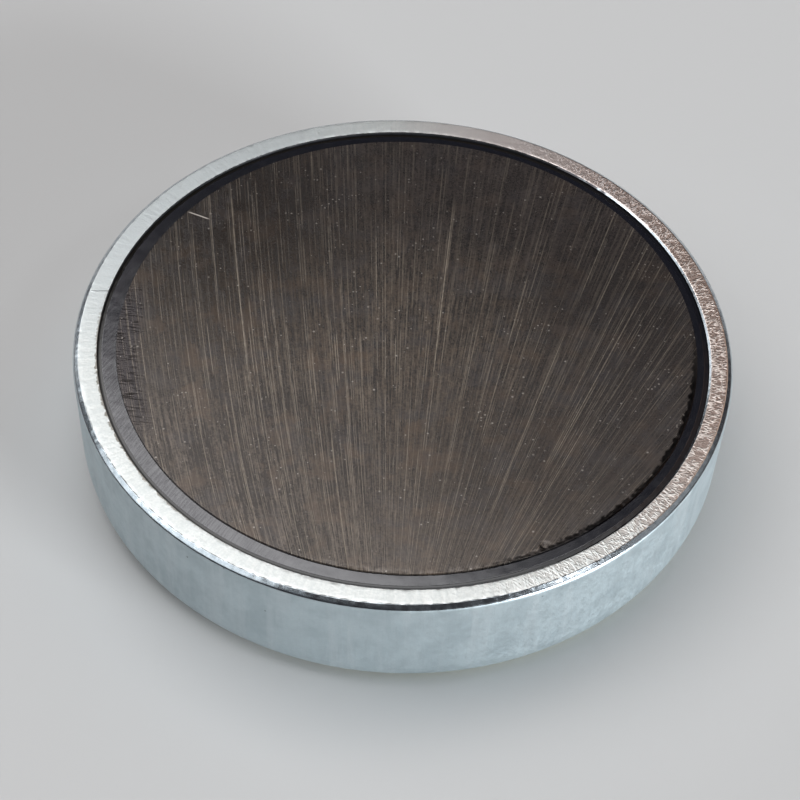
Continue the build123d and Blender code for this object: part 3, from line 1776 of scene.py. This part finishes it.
LAMPS = (
    SoftBox("overhead_box", 137.2, 68.4, 3.05, 2.9, glow=2.6, roll=20.0),
    SoftBox("left_card", 190.0, 42.0, 2.9, 1.4, glow=1.35, colour=(0.9, 0.96, 1.0), roll=27.0),
    SoftBox("far_card", 138.0, 22.0, 1.1, 0.9, glow=1.4, colour=(0.95, 0.98, 1.0)),
    SoftBox("warm_card", 45.0, 45.0, 1.4, 1.7, glow=0.9, colour=(1.0, 0.68, 0.5)),
    SoftBox("right_card", 8.0, 32.0, 1.8, 0.9, glow=0.35, colour=(0.95, 0.98, 1.0)),
    SoftBox("front_box", 322.0, 9.0, 1.2, 0.9, glow=38.0, colour=(0.92, 0.97, 1.0)),
    SoftBox("spot", 334.0, 48.0, 0.4, 0.4, glow=8.0, colour=(0.92, 0.96, 1.0)),
)


@dataclass(frozen=True)
class Camera:
    """The camera, which looks down on the holding face from the front."""

    elevation: float = 48.9253
    roll: float = 2.7926
    lens: float = 130.5
    sensor: float = 36.0
    distance: float = 219.84
    aim_height: float = 10.0
    aim_right: float = -0.2832
    aim_up: float = -4.179
    clip: float = 0.01  # metres

    def place(self) -> None:
        """Add the camera and make it the scene's."""
        deselect_all()
        rise = math.radians(self.elevation)
        back = Vector((0.0, -math.cos(rise), math.sin(rise)))
        level = Vector((1.0, 0.0, 0.0))
        up = back.cross(level)
        turn = math.radians(self.roll)
        right = level * math.cos(turn) + up * math.sin(turn)
        top = up * math.cos(turn) - level * math.sin(turn)
        aim = Vector((0.0, 0.0, self.aim_height)) + right * self.aim_right + top * self.aim_up
        spot = (aim + back * self.distance) * MM
        bpy.ops.object.camera_add()
        camera = bpy.context.object
        camera.name = "camera"
        rotation = Matrix((right, top, back)).transposed().to_4x4()
        camera.matrix_world = Matrix.Translation(spot) @ rotation
        camera.data.lens = self.lens
        camera.data.sensor_width = self.sensor
        camera.data.clip_start = self.clip
        bpy.context.scene.camera = camera


@dataclass
class Studio:
    """The floor, the lamps and the camera."""

    floor_half: float = 2.0  # metres
    floor_grey: Colour = (0.57, 0.57, 0.57)
    floor_roughness: float = 0.9
    floor_gloss: float = 0.1
    air: Colour = (0.022, 0.022, 0.026)
    lamps: tuple[SoftBox, ...] = LAMPS

    def build(self) -> None:
        """Set the studio up."""
        self._floor()
        self._air()
        for lamp in self.lamps:
            lamp.hang()
        Camera().place()
        bpy.context.scene.view_settings.view_transform = "Standard"

    def _floor(self) -> None:
        """Lay the floor."""
        deselect_all()
        size = 2 * self.floor_half
        bpy.ops.mesh.primitive_grid_add(x_subdivisions=8, y_subdivisions=8, size=size)
        floor = bpy.context.object
        floor.name = "floor"
        feeds = {
            "Base Color": self.floor_grey,
            "Roughness": self.floor_roughness,
            "Specular IOR Level": self.floor_gloss,
        }
        floor.data.materials.append(Paint("pale_floor").finish(feeds))
        floor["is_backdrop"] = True

    def _air(self) -> None:
        """Light the room."""
        world = bpy.data.worlds.new("room")
        bpy.context.scene.world = world
        world.use_nodes = True
        world.node_tree.nodes.clear()
        bench = Bench(world.node_tree)
        glow = bench.wire("ShaderNodeBackground", {"Color": self.air, "Strength": 1.0})
        bench.node("ShaderNodeOutputWorld", {"Surface": glow})


def write_sizes() -> None:
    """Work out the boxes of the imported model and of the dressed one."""
    boxes = [[list(corner) for corner in box] for box in (cad_bounds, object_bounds())]


def main() -> None:
    """Build, wear and dress the magnet's pieces and set the studio up."""
    logging.basicConfig(level=logging.INFO, format="%(name)s: %(message)s")
    for sub_assembly in (SteelPot(), FerriteDisc(), SpacerRing(), GlueLine()):
        piece = sub_assembly.build()
        sub_assembly.wear(piece)
        sub_assembly.dress(piece)
        log.info("%s: %d faces", piece.name, len(piece.data.polygons))
    Studio().build()
    write_sizes()


if __name__ == "__main__":
    main()
